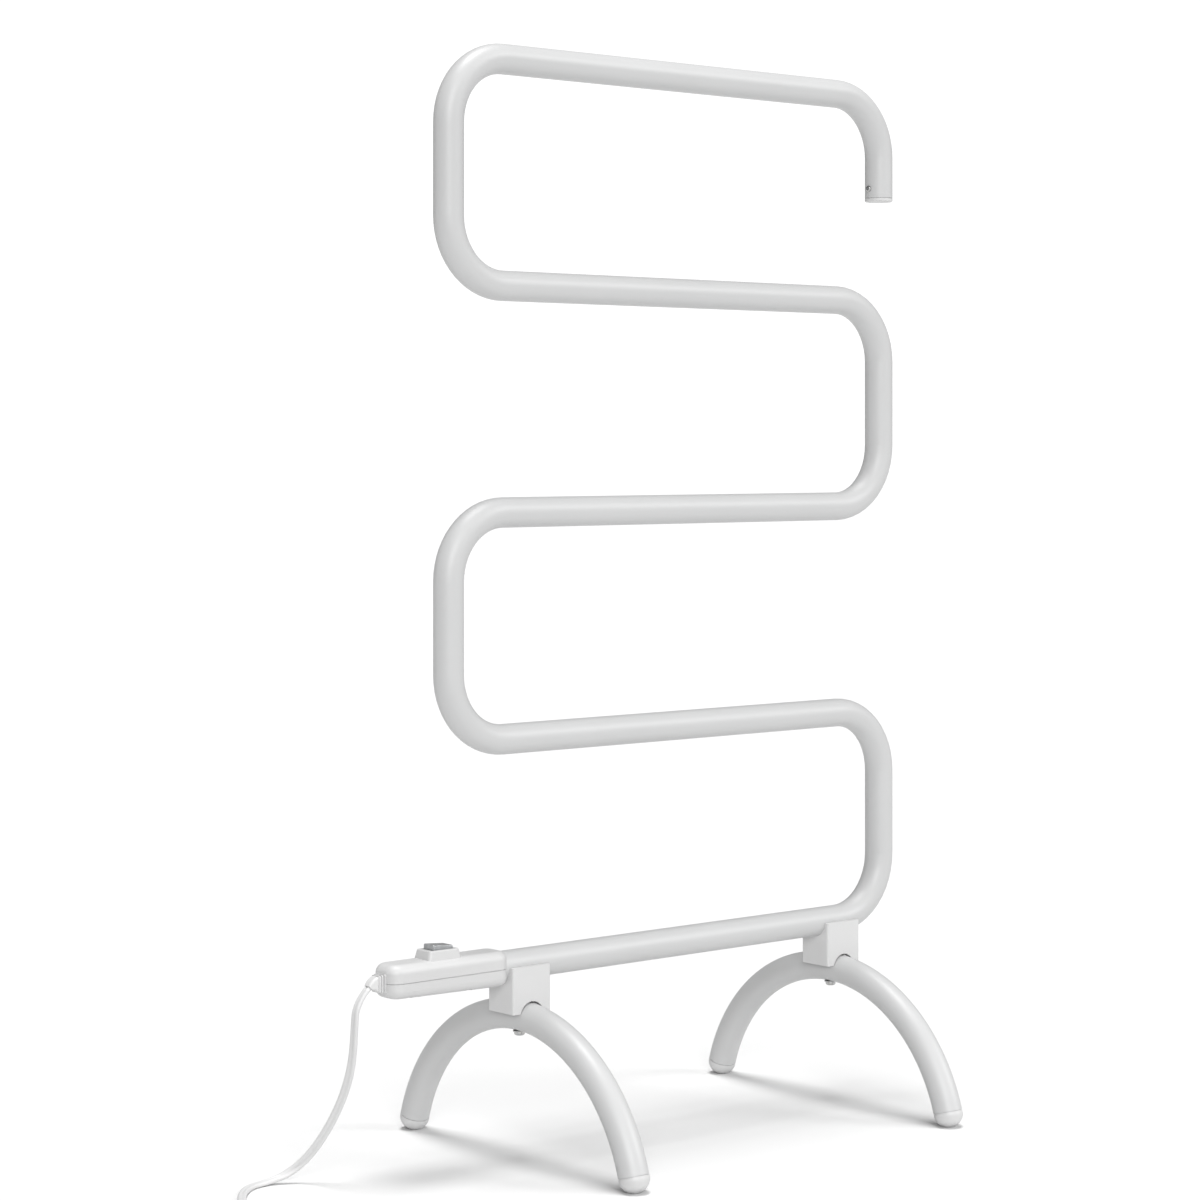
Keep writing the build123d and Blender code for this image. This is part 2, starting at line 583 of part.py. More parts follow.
def neon_lamp():
    x, y = LAMP_PLACE
    glass = rod((x, y, LAMP_LOW), (x, y, LAMP_HIGH), LAMP_R)
    glass = fillet(glass.edges().group_by(Axis.Z)[-1], 0.9 * LAMP_R)
    for side in (-0.7, 0.7):
        glass += rod((x, y + side, HOUSING_FLOOR), (x, y + side, LAMP_LOW), 0.25)
    return SWITCH_AT * glass


# ---- Wiring inside the box ----------------------------------------------------------
CORE_R = 1.1
LEAD_R = 0.9
WIRE_LIFT = 3.5             # the lowest wires' axes, over the box's floor
WIRE_Z = FLOOR + BOX_TAPER / 2 + WIRE_LIFT
TAIL_END_X = CLAMP_X + 6.0
BLADE_TIP_Z = PIVOT_Z + BLADE_END
CRIMP_LENGTH = 12.0
CRIMP_R = 2.6
CRIMP_X = SWITCH_X + 4.5
CRIMP_Y = 8.5
FUSE_LENGTH = 10.0
FUSE_R = 2.0
FUSE_X = SWITCH_X + 12.0
FUSE_Y = -5.0


def wire(points, radius):
    """A wire that turns its corners in small arcs."""
    return swept(FilletPolyline(*points, radius=2.0), Circle(radius))


def cord_tail():
    """The jacketed end of the cord inside the box, from the strain relief to its strip."""
    start = BOX_LEFT + BOX_WALL + SLIP + RELIEF_FLANGE
    face = Plane.YZ * SlotOverall(CORD_D, CORD_T)
    return Pos(start, 0, CORD_Z) * extrude(face, TAIL_END_X - start)


def cord_cores():
    """The live core to the switch and the neutral core to the crimp."""
    out = TAIL_END_X
    y = (CORD_D - CORD_T) / 2
    live = [
        (out, -y, CORD_Z),
        (out + 6, -y - 2, WIRE_Z + 3),
        (SWITCH_X - 5, -1.5, WIRE_Z - 1),
        (SWITCH_X, 0, BLADE_TIP_Z),
    ]
    neutral = [
        (out, y, CORD_Z),
        (out + 7, CRIMP_Y - 2, WIRE_Z + 2),
        (CRIMP_X - CRIMP_LENGTH / 2, CRIMP_Y, WIRE_Z),
    ]
    return [wire(live, CORE_R), wire(neutral, CORE_R)]


def heater_leads():
    """The heater's two leads, to the crimp and to the thermal fuse."""
    out = HEATER_END_X
    to_crimp = [
        (out, 1.2, LOWEST_BAR_Z),
        (out - 5, 3.0, WIRE_Z + 4),
        (out - 9, 6.0, WIRE_Z + 0.5),
        (CRIMP_X + CRIMP_LENGTH / 2, CRIMP_Y, WIRE_Z),
    ]
    to_fuse = [
        (out, -1.2, LOWEST_BAR_Z),
        (out - 5, -3.5, WIRE_Z + 3),
        (FUSE_X + FUSE_LENGTH / 2, FUSE_Y, WIRE_Z),
    ]
    return [wire(to_crimp, LEAD_R), wire(to_fuse, LEAD_R)]


def fuse_lead():
    points = [
        (FUSE_X - FUSE_LENGTH / 2, FUSE_Y, WIRE_Z),
        (SWITCH_X + BLADE_X[2] - 4, -3.0, WIRE_Z + 0.5),
        (SWITCH_X + BLADE_X[2], 0, BLADE_TIP_Z),
    ]
    return wire(points, LEAD_R)


def thermal_fuse():
    low, high = FUSE_X - FUSE_LENGTH / 2, FUSE_X + FUSE_LENGTH / 2
    fuse = rod((low, FUSE_Y, WIRE_Z), (high, FUSE_Y, WIRE_Z), FUSE_R)
    return fillet(fuse.edges().filter_by(GeomType.CIRCLE), 0.6)


def neutral_crimp():
    low, high = CRIMP_X - CRIMP_LENGTH / 2, CRIMP_X + CRIMP_LENGTH / 2
    crimp = rod((low, CRIMP_Y, WIRE_Z), (high, CRIMP_Y, WIRE_Z), CRIMP_R)
    return fillet(crimp.edges().filter_by(GeomType.CIRCLE), 0.8)


def cord_clamp():
    low = CORD_Z + CORD_T / 2
    bar = span(*CLAMP_SIZE[:2], low, low + CLAMP_SIZE[2], x=CLAMP_X)
    bar = fillet(bar.edges().filter_by(Axis.Z), 1.5)
    for side in (-1, 1):
        y = side * CLAMP_SCREW_Y
        bar -= rod((CLAMP_X, y, low), (CLAMP_X, y, low + CLAMP_SIZE[2]), CLAMP_SCREW_R + SLIP)
    return bar


def cord_clamp_screw(side):
    top = CORD_Z + CORD_T / 2 + CLAMP_SIZE[2]
    place = Pos(CLAMP_X, side * CLAMP_SCREW_Y, top) * Rot(X=180)
    return place * pan_screw(*CLAMP_SCREW_HEAD, CLAMP_SCREW_R, CLAMP_SCREW_LENGTH)


# ---- Strain relief ------------------------------------------------------------------
RELIEF_GROOVES = 3
GROOVE_WIDTH = 1.1
GROOVE_DEPTH = 1.6
RIB_STEP = 0.8              # each rib is that much smaller than the one before
RIB_CORNER = 1.2
NOSE_BEND = 42.0
NOSE_R = 9.0
NOSE_ROOT = (9.6, 12.0)
NOSE_TIP = (7.8, 5.0)
NOSE_CORNER = 2.0
NOSE_SECTIONS = 4


def relief_plate(low, high, width, height):
    """A plate of the strain relief, between two distances outside the box's end."""
    plate = Box(high - low, width, height)
    plate = fillet(plate.edges().filter_by(Axis.X), RIB_CORNER)
    return Pos(BOX_LEFT - (low + high) / 2, 0, CORD_Z) * plate


def strain_relief():
    """A moulded relief: a flange inside, ribs outside and a nose that points down."""
    neck = Pos(BOX_LEFT + BOX_WALL / 2, 0, CORD_Z) * Box(
        BOX_WALL + 2 * SLIP, RELIEF_W, RELIEF_H
    )
    flange = relief_plate(-BOX_WALL - SLIP - RELIEF_FLANGE, -BOX_WALL - SLIP, *FLANGE_SIZE)
    relief = neck + flange
    width, height = RELIEF_W, RELIEF_H
    nose_start = RELIEF_REACH - (NOSE_R + NOSE_TIP[1] / 2) * sin(radians(NOSE_BEND))
    relief += relief_plate(0, nose_start, width - 2 * GROOVE_DEPTH, height - 2 * GROOVE_DEPTH)
    rib_t = (nose_start - RELIEF_GROOVES * GROOVE_WIDTH) / RELIEF_GROOVES
    for rib in range(RELIEF_GROOVES):
        low = rib * (rib_t + GROOVE_WIDTH)
        relief += relief_plate(low, low + rib_t, width - rib * RIB_STEP, height - rib * RIB_STEP)
    sections = []
    for step in range(NOSE_SECTIONS):
        share = step / (NOSE_SECTIONS - 1)
        size = [root + (tip - root) * share for root, tip in zip(NOSE_ROOT, NOSE_TIP)]
        turn = radians(share * NOSE_BEND)
        place = (BOX_LEFT - nose_start - NOSE_R * sin(turn), 0, CORD_Z - NOSE_R * (1 - cos(turn)))
        plane = Plane(origin=place, x_dir=(0, 1, 0), z_dir=(-cos(turn), 0, -sin(turn)))
        sections.append(plane * RectangleRounded(*size, NOSE_CORNER))
    return relief + loft(sections)


# ---- Supply cord --------------------------------------------------------------------
# From the strain relief down to the floor, along it, and into a tied coil. The plug
# lies beside the coil.
CORD_ROUTE = [
    (-292.4, 0.0, 158.2),
    (-304.3, 0.0, 147.5),
    (-305.2, 1.0, 126.0),
    (-303.8, 5.0, 104.0),
    (-304.0, 11.0, 84.0),
    (-306.0, 20.0, 63.5),
    (-310.5, 31.0, 42.5),
    (-318.5, 42.5, 22.5),
    (-330.5, 53.5, 8.0),
    (-347.0, 60.0, 3.6),
    (-365.0, 57.5, 3.6),
    (-381.0, 44.5, 3.6),
    (-394.5, 26.5, 3.6),
    (-407.0, 4.0, 3.6),
    (-424.0, -18.0, 4.0),
    (-447.9, -45.7, 4.6),
]
PLUG_ROUTE = [
    (-411.5, -119.3, 4.6),
    (-394.0, -118.5, 6.5),
    (-378.5, -118.5, 6.5),
]
COIL_CENTRE = (-425.5, -80.0)
COIL_R = 38.5               # at the middle of the turns
COIL_SECTION = (13.0, 14.0)
COIL_CORNER = 3.0
COIL_LIFT = 1.0
TIE_ANGLE = 20.0
TIE_T = 0.8
TIE_GAP = 0.1
TIE_W = 4.0
PLUG_SIZE = (26.0, 26.0, 13.0)
PLUG_NOSE = 16.5
PLUG_ROOT = (9.0, 8.0)
PLUG_SHOULDER = (18.0, 11.0)
PLUG_SHOULDER_R = 3.0
PLUG_CORNER_R = 4.0
PIN_SIZE = (17.0, 1.5, 6.3)
PIN_PITCH = 12.7
PIN_TIP_R = 1.5
PIN_HOLE_R = 1.6
PIN_HOLE_INSET = 4.0


def cord_tube(points):
    """A round tube along the route, each corner as wide an arc as its runs allow."""
    radii = []
    for before, corner, after in zip(points, points[1:], points[2:]):
        run_in = Vector(*corner) - Vector(*before)
        run_out = Vector(*after) - Vector(*corner)
        half_turn = radians(run_in.get_angle(run_out)) / 2
        radii.append(0.45 * min(run_in.length, run_out.length) / tan(half_turn))
    print("cord radii in diameters", [round(radius / CORD_D, 1) for radius in radii])
    line = FilletPolyline(*points, radius=radii if len(radii) > 1 else radii[0])
    tube = swept(line, Circle(CORD_D / 2))
    plain_volume = line.length * pi * CORD_D**2 / 4
    print("length", round(line.length, 1), "volume ratio", round(tube.volume / plain_volume, 4))
    return tube


def cord_coil():
    """The outer form of the wound cord."""
    middle = COIL_LIFT + COIL_SECTION[1] / 2
    section = Plane.XZ * Pos(COIL_R, middle) * RectangleRounded(*COIL_SECTION, COIL_CORNER)
    return Pos(*COIL_CENTRE, 0) * revolve(section, axis=Axis.Z)


def coil_tie():
    middle = COIL_LIFT + COIL_SECTION[1] / 2
    hole = [size + 2 * TIE_GAP for size in COIL_SECTION]
    inner = RectangleRounded(*hole, COIL_CORNER)
    outer = RectangleRounded(hole[0] + 2 * TIE_T, hole[1] + 2 * TIE_T, COIL_CORNER + TIE_T)
    band = extrude(Plane.XZ * (outer - inner), TIE_W / 2, both=True)
    return Pos(*COIL_CENTRE, 0) * Rot(Z=TIE_ANGLE) * Pos(COIL_R, 0, middle) * band


def plug_body():
    x, y, z = PLUG_ROUTE[-1]
    across = Plane(origin=(x, y, z), x_dir=(0, 1, 0), z_dir=(1, 0, 0))
    root = across * RectangleRounded(*PLUG_ROOT, PLUG_SHOULDER_R)
    shoulder = across * Pos(0, 0, PLUG_NOSE) * RectangleRounded(*PLUG_SHOULDER, PLUG_CORNER_R)
    nose = loft([root, shoulder])
    body = Pos(x + PLUG_NOSE + PLUG_SIZE[0] / 2, y, z) * Box(*PLUG_SIZE)
    body = fillet(body.edges().filter_by(Axis.X), PLUG_CORNER_R)
    body = fillet(body.faces().sort_by(Axis.X)[0].edges(), PLUG_SHOULDER_R)
    return nose + body


def plug_pin(side):
    x, y, z = PLUG_ROUTE[-1]
    root = x + PLUG_NOSE + PLUG_SIZE[0]
    pin = Box(*PIN_SIZE)
    pin = fillet(pin.edges().filter_by(Axis.Y).group_by(Axis.X)[-1], PIN_TIP_R)
    hole = Rot(X=90) * Cylinder(PIN_HOLE_R, 2 * PIN_SIZE[1])
    pin -= Pos(PIN_SIZE[0] / 2 - PIN_HOLE_INSET, 0, 0) * hole
    return Pos(root + PIN_SIZE[0] / 2, y + side * PIN_PITCH / 2, z) * pin


save("rail_tube", rail_tube())
save("rail_end_plug", rail_end_plug())
save("rail_end_screw", rail_end_screw())
save("heating_cable", heating_cable())
save("heater_end_seal", heater_end_seal())
save("heater_bush", heater_bush())
for name, x in LEG_X.items():
    save(f"{name}_leg_tube", leg_tube(x))
    save(f"{name}_saddle_block", saddle_block(x))
    save(f"{name}_front_foot_cap", foot_cap(x, 1))
    save(f"{name}_rear_foot_cap", foot_cap(x, -1))
save("leg_bolts", *[leg_bolt(x) for x in LEG_X.values()])
save("leg_washers", *[leg_washer(x) for x in LEG_X.values()])
save("rivet_nuts", *[rivet_nut(x) for x in LEG_X.values()])
save("box_upper_shell", box_upper_shell())
save("box_lower_shell", box_lower_shell())
save("box_screws", *[box_screw(x, y) for x, y in BOSS_PLACES])
save("tube_lock_screw", tube_lock_screw())
save("switch_housing", switch_housing())
save("switch_rocker", switch_rocker())
save("rocker_plunger", rocker_plunger())
save("rocker_spring", rocker_spring())
save("contact_lever", contact_lever())
save("switch_terminals", *switch_terminals())
save("neon_lamp", neon_lamp())
save("cord_tail", cord_tail())
save("cord_cores", *cord_cores())
save("heater_leads", *heater_leads())
save("fuse_lead", fuse_lead())
save("thermal_fuse", thermal_fuse())
save("neutral_crimp", neutral_crimp())
save("cord_clamp", cord_clamp())
save("cord_clamp_screws", *[cord_clamp_screw(side) for side in (-1, 1)])
save("strain_relief", strain_relief())
save("supply_cord", cord_tube(CORD_ROUTE))
save("supply_cord_coil", cord_coil())
save("supply_cord_end", cord_tube(PLUG_ROUTE))
save("coil_tie", coil_tie())
save("plug_body", plug_body())
save("plug_pins", *[plug_pin(side) for side in (-1, 1)])
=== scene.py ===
# %% [markdown]
# # A free-standing towel warmer
# The object is one bent steel tube on two arched legs, with a switch box at one end of its
# lowest bar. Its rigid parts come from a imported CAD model, which is loaded here as a fixed
# frame: nothing in it is moved. This lesson gives every part a finish, and makes the pieces
# that a CAD solid only stands in for, such as the flat supply cord and its coil.

import json
import math

import bpy
import numpy as np
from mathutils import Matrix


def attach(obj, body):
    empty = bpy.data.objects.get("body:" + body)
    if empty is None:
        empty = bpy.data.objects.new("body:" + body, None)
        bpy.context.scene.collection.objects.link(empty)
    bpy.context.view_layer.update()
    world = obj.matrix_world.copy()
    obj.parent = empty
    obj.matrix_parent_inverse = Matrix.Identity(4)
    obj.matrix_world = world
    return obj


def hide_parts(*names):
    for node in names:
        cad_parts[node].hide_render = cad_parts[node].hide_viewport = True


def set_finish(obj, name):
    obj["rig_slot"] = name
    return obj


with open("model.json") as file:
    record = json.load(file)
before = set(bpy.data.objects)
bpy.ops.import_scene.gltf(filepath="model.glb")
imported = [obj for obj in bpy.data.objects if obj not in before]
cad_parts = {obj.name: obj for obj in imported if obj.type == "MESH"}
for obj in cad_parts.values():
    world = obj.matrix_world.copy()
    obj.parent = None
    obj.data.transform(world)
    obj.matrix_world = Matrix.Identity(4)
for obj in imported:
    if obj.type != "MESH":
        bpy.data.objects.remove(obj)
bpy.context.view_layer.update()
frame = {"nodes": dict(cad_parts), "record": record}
MM = 0.001

# %% [markdown]
# ## The camera
# The rack is looked at from its front left, from a little above its middle, with a long
# lens. The uprights have to stay upright in the picture, so the camera is level and the lens
# is shifted instead of the camera being tilted, as is done for pictures of buildings.

# %% Camera
CAMERA_AT = (-1.6903, -1.9164, 0.5876)
CAMERA_HEADING = 0.690      # radians, from +Y towards +X
CAMERA_LENS = 90.1
CAMERA_SHIFT = (0.0433, -0.1306)
SENSOR_WIDTH = 36.0

camera_data = bpy.data.cameras.new("camera")
camera_data.lens = CAMERA_LENS
camera_data.sensor_width = SENSOR_WIDTH
camera_data.shift_x, camera_data.shift_y = CAMERA_SHIFT
camera = bpy.data.objects.new("camera", camera_data)
camera.location = CAMERA_AT
camera.rotation_euler = (math.pi / 2, 0.0, -CAMERA_HEADING)
bpy.context.scene.collection.objects.link(camera)
bpy.context.scene.camera = camera
print("camera looks along", np.round([math.sin(CAMERA_HEADING), math.cos(CAMERA_HEADING), 0], 3))

# %% [markdown]
# ## Surfaces from arrays
# A new piece could be modelled by pushing vertices about. Here each one is a grid: rows of
# points along the piece, and columns round it. The whole grid is worked out with numpy, and
# one helper turns any grid into a closed mesh. Its ends are closed with a fan to a middle
# point, or the last row is joined to the first.


# %% Grid to mesh
def outward(points, faces):
    """Faces in the order that points them out: the signed volume under them is positive.

    Volume = the sum over triangles of (a . (b x c)) / 6.
    """
    a, b, c = points[faces[:, 0]], points[faces[:, 1]], points[faces[:, 2]]
    volume = np.einsum("ij,ij->i", a, np.cross(b, c)).sum()
    c, d = points[faces[:, 2]], points[faces[:, 3]]
    volume += np.einsum("ij,ij->i", a, np.cross(c, d)).sum()
    return faces if volume > 0 else faces[:, ::-1]


def piece_from_grid(name, grid, ring=False):
    """A closed mesh from grid[row, column, xyz], whose columns go round the piece.

    Face (i, j) joins columns j and j + 1 of rows i and i + 1. With ring, the last row joins
    the first. Otherwise each end row is closed with triangles to its own middle.
    """
    rows, columns = grid.shape[:2]
    index = np.arange(rows * columns).reshape(rows, columns)
    following = np.roll(index, -1, axis=0) if ring else index[1:]
    current = index if ring else index[:-1]
    quads = np.stack(
        [current, np.roll(current, -1, 1), np.roll(following, -1, 1), following], axis=-1
    ).reshape(-1, 4)
    points = grid.reshape(-1, 3)
    if not ring:
        points = np.vstack([points, grid[0].mean(0), grid[-1].mean(0)])
        for row, middle, turn in ((index[0], rows * columns, -1), (index[-1], rows * columns + 1, 1)):
            fan = np.stack([row, np.roll(row, -1)][::turn] + [np.full(columns, middle)] * 2, -1)
            quads = np.vstack([quads, fan])
    quads = outward(points, quads)
    faces = [tuple(dict.fromkeys(face)) for face in quads.tolist()]
    mesh = bpy.data.meshes.new(name)
    mesh.from_pydata(points.tolist(), [], faces)
    mesh.shade_smooth()
    piece = bpy.data.objects.new(name, mesh)
    bpy.context.scene.collection.objects.link(piece)
    print(f"{name}: {len(points)} points, {len(faces)} faces")
    return piece


def unit(vectors):
    """Each vector divided by its length."""
    return vectors / np.linalg.norm(vectors, axis=-1, keepdims=True)


def headings(path, ring=False):
    """The direction at each point of a path: from the point before it to the one after."""
    if ring:
        return unit(np.roll(path, -1, 0) - np.roll(path, 1, 0))
    return unit(np.gradient(path, axis=0))


def carried(path, wide, section, ring=False):
    """A flat section carried along a path, as a grid.

    Point (i, j) = path[i] + u[j] * across[i] + v[j] * over[i], where across is the wanted
    wide direction made square to the path, and over is square to both. The section is
    (columns, 2), or (rows, columns, 2) where it changes along the path.
    """
    ahead = headings(path, ring)
    across = unit(wide - np.einsum("ij,ij->i", wide, ahead)[:, None] * ahead)
    over = np.cross(ahead, across)
    u, v = section[..., 0, None], section[..., 1, None]
    return path[:, None] + u * across[:, None] + v * over[:, None]


# %% [markdown]
# ## The supply cord
# The cord is a flat one: two insulated cores side by side in one white jacket, 7 mm by
# 3.8 mm, with a shallow groove down the middle of each wide side. It leaves the switch box
# pointing down, hangs to the floor in one long bend, and the rest of its 1.45 m is wound
# into a tied coil with the plug beside it. A round tube on a bevelled curve would miss the
# groove and the twist, so the smooth spline only gives the line, and a flat section is
# carried along it.

# %% The cord's route
CORD_WIDTH = 7.0 * MM
CORD_THICKNESS = 3.8 * MM
CORD_EXIT = (-0.2924, 0.0, 0.1582)
HANGING = [
    CORD_EXIT,
    (-0.3043, 0.0000, 0.1475),
    (-0.3052, 0.0010, 0.1260),
    (-0.3038, 0.0050, 0.1040),
    (-0.3040, 0.0110, 0.0840),
    (-0.3060, 0.0200, 0.0635),
    (-0.3105, 0.0310, 0.0425),
    (-0.3185, 0.0425, 0.0225),
    (-0.3305, 0.0535, 0.0080),
    (-0.3470, 0.0600, 0.0022),
    (-0.3650, 0.0575, 0.0021),
    (-0.3810, 0.0445, 0.0021),
    (-0.3945, 0.0265, 0.0021),
    (-0.4070, 0.0040, 0.0021),
    (-0.4240, -0.0180, 0.0028),
    (-0.4514, -0.0430, 0.0045),
]
TO_PLUG = [
    (-0.4115, -0.1196, 0.0110),
    (-0.3960, -0.1188, 0.0080),
    (-0.3820, -0.1185, 0.0065),
    (-0.3735, -0.1185, 0.0065),
]
COIL_CENTRE = np.array([-0.4255, -0.0800])
COIL_START = math.radians(143.1)
COIL_TURNS = 4.3525
COIL_STAGES = [0.0, 2.35, 2.75, COIL_TURNS]     # turns: in, up, and out again
COIL_RADII = [42.6, 33.0, 33.2, 39.6]           # mm, at each stage
COIL_HEIGHTS = [4.5, 4.5, 11.5, 11.5]           # mm, at each stage
POINTS_PER_TURN = 16
SPLINE_ORDER = 3
SPLINE_FINENESS = 8         # points read from the spline for each control point


def coil_points():
    """The coil's turns, as control points of the same spline.

    The angle grows evenly. The radius shrinks turn by turn through the lower layer, stays
    while the cord climbs, and grows again through the upper layer. A spline of order 3
    runs inside its control points, by the mean of cos(step / 2) and 3/4 + cos(step) / 4,
    so the radius is divided by that.
    """
    turn = np.linspace(0, COIL_TURNS, round(COIL_TURNS * POINTS_PER_TURN) + 1)
    radius = np.interp(turn, COIL_STAGES, COIL_RADII) * MM
    height = np.interp(turn, COIL_STAGES, COIL_HEIGHTS) * MM
    step = 2 * math.pi / POINTS_PER_TURN
    radius = radius / (0.5 * math.cos(step / 2) + 0.375 + 0.125 * math.cos(step))
    angle = COIL_START + 2 * math.pi * turn
    flat = COIL_CENTRE + radius[:, None] * np.stack([np.cos(angle), np.sin(angle)], -1)
    return np.column_stack([flat, height])[1:]


cord_route = np.vstack([HANGING, coil_points(), TO_PLUG])
print("control points:", len(cord_route))


# %% [markdown]
# ## A line to carry the section on
# The control points pull a smooth spline towards them and don't lie on it. Blender works the
# spline out, and its points are read back from a curve with no bevel, so every bend is as
# smooth as the spline. Joining the control points directly would look like bent wire.

# %% Read points from the smooth spline
def smooth_line(points, fineness):
    """Points along the NURBS spline that has these control points."""
    curve = bpy.data.curves.new("route", "CURVE")
    curve.dimensions = "3D"
    curve.resolution_u = fineness
    spline = curve.splines.new("NURBS")
    spline.points.add(len(points) - 1)
    spline.points.foreach_set("co", np.column_stack([points, np.ones(len(points))]).ravel())
    spline.order_u = SPLINE_ORDER
    spline.use_endpoint_u = True
    holder = bpy.data.objects.new("route", curve)
    line = bpy.data.meshes.new_from_object(holder)
    found = np.empty(3 * len(line.vertices))
    line.vertices.foreach_get("co", found)
    bpy.data.objects.remove(holder)
    bpy.data.curves.remove(curve)
    bpy.data.meshes.remove(line)
    return found.reshape(-1, 3)


cord_line = smooth_line(cord_route, SPLINE_FINENESS)
cord_steps = np.linalg.norm(np.diff(cord_line, axis=0), axis=1)
cord_along = np.append(0.0, np.cumsum(cord_steps))
print("cord line:", len(cord_line), "points,", round(cord_along[-1], 4), "m")


# %% [markdown]
# ## The section and its twist
# The two cores give the jacket the shape of a slot, with a groove along each wide side. A
# flat cord bends easily only across its thin side, so it twists on its way down, lies flat
# on the floor and stands on edge in the coil. A section that never turned would look stiff.

# %% The flat two-core section, and how it twists
FLATNESS = 3.0              # how sharply the slot's straight sides meet its round ends
GROOVE_SHARE = 0.42         # of the half thickness, that the middle groove takes off
GROOVE_HALF = 0.6 * MM


def two_core_section(columns=40):
    """The jacket's outline round two cores side by side.

    u = 1.6 mm * tanh(3 cos a) / tanh(3) + 1.9 mm * cos a, a circle pulled into a flat slot;
    v = 1.9 mm * sin a * (1 - 0.42 * exp(-(u / 0.6 mm)^2)), which cuts the middle groove.
    """
    angle = np.linspace(0, 2 * math.pi, columns, endpoint=False)
    core = CORD_THICKNESS / 2
    pulled = np.tanh(FLATNESS * np.cos(angle)) / math.tanh(FLATNESS)
    u = (CORD_WIDTH / 2 - core) * pulled + core * np.cos(angle)
    v = core * np.sin(angle) * (1 - GROOVE_SHARE * np.exp(-((u / GROOVE_HALF) ** 2)))
    return np.stack([u, v], -1)


# Distance along the cord in metres, and where its wide side points there: across the box's
# end, turned half way down the hanging stretch, flat on the floor, and on edge in the coil.
cord_end = cord_along[-1]
TWIST = [
    (0.000, (0.00, 1.00, 0.00)),
    (0.050, (-0.25, 1.00, 0.00)),
    (0.090, (-0.68, 0.56, 0.40)),
    (0.150, (-0.68, 0.56, 0.40)),
    (0.185, (-0.30, 0.95, 0.05)),
    (0.235, (-0.75, 0.65, 0.00)),
    (0.290, (-0.80, 0.60, 0.05)),
    (0.345, (0.00, 0.00, 1.00)),
    (cord_end - 0.060, (0.00, 0.00, 1.00)),
    (cord_end - 0.022, (0.00, 1.00, 0.00)),
]
twist_at = [place for place, _ in TWIST]
cord_wide = np.stack(
    [np.interp(cord_along, twist_at, [side[axis] for _, side in TWIST]) for axis in range(3)], -1
)
supply_cord = piece_from_grid("flat_supply_cord", carried(cord_line, cord_wide, two_core_section()))


# %% [markdown]
# ## The plug
# The plug is one soft moulding round two flat blades: a narrow grooved neck that flexes with
# the cord, and a flat grip. The CAD has it as a block with a cone. Here its outline is a
# superellipse, which turns from nearly round at the neck to nearly square at the face, and
# its width, height and squareness are read off one table along its length.


# %% Plug moulding
def superellipse(half_width, half_height, squareness, columns):
    """Rows of outlines: |u / w|^n + |v / h|^n = 1, with one w, h and n for each row."""
    angle = np.linspace(0, 2 * math.pi, columns, endpoint=False)
    cosine, sine = np.cos(angle), np.sin(angle)
    power = 2 / squareness[:, None]
    u = half_width[:, None] * np.sign(cosine) * np.abs(cosine) ** power
    v = half_height[:, None] * np.sign(sine) * np.abs(sine) ** power
    return np.stack([u, v], -1)


PLUG_START = np.array([-0.3785, -0.1185, 0.0065])
# Places and half sizes are in mm, along the plug and square to it.
PLUG_STATIONS = [0.0, 0.4, 12.0, 17.0, 21.0, 30.0, 40.0, 42.5]
PLUG_WIDTHS = [3.6, 4.5, 6.6, 8.6, 12.2, 13.0, 13.0, 12.6]
PLUG_HEIGHTS = [3.2, 4.0, 4.6, 5.4, 6.2, 6.5, 6.5, 6.1]
PLUG_SQUARENESS = [2.2, 2.3, 2.6, 3.2, 4.2, 4.8, 5.0, 5.0]
NECK_GROOVES = [3.5, 6.5, 9.5]
NECK_GROOVE_HALF = 0.45
NECK_GROOVE_DEPTH = 0.8
GRIP_GROOVES = [26.0, 28.5, 31.0, 33.5]
GRIP_GROOVE_HALF = 0.5
GRIP_GROOVE_DEPTH = 0.45
PLUG_ROWS = 170
PLUG_COLUMNS = 56


def grooves(along, places, half):
    """A row of grooves, each exp(-((x - place) / half)^2), from 0 outside to 1 at its middle."""
    return sum(np.exp(-(((along - place) / half) ** 2)) for place in places)


def plug_moulding():
    """The plug's grid.

    The neck's grooves go all round it, and the grip's are on its two narrow sides. The last
    rows all stand at the face and shrink to its middle, to round and close it.
    """
    along = np.linspace(0, PLUG_STATIONS[-1], PLUG_ROWS)
    width = np.interp(along, PLUG_STATIONS, PLUG_WIDTHS)
    height = np.interp(along, PLUG_STATIONS, PLUG_HEIGHTS)
    squareness = np.interp(along, PLUG_STATIONS, PLUG_SQUARENESS)
    neck = NECK_GROOVE_DEPTH * grooves(along, NECK_GROOVES, NECK_GROOVE_HALF)
    grip = GRIP_GROOVE_DEPTH * grooves(along, GRIP_GROOVES, GRIP_GROOVE_HALF)
    width = width - neck - grip
    height = height - neck
    bend = np.linspace(0, math.pi / 2, 7)[1:]
    shrink = np.concatenate([1.0 - 0.08 * (1 - np.cos(bend)), [0.6, 0.25]])
    along = np.append(along, np.full(len(shrink), along[-1]))
    width = np.append(width, width[-1] * shrink)
    height = np.append(height, height[-1] * shrink)
    squareness = np.append(squareness, np.full(len(shrink), squareness[-1]))
    outline = superellipse(width, height, squareness, PLUG_COLUMNS) * MM
    grid = np.zeros((*outline.shape[:2], 3))
    grid[..., 0] = along[:, None] * MM
    grid[..., 1:] = outline
    return grid + PLUG_START


plug = piece_from_grid("plug_moulding", plug_moulding())

# %% [markdown]
# ## The tie
# A paper-covered wire holds the coil. It is a flat strip with the wire as a low ridge along
# its middle, once round all the turns, and its two ends are twisted together outside.

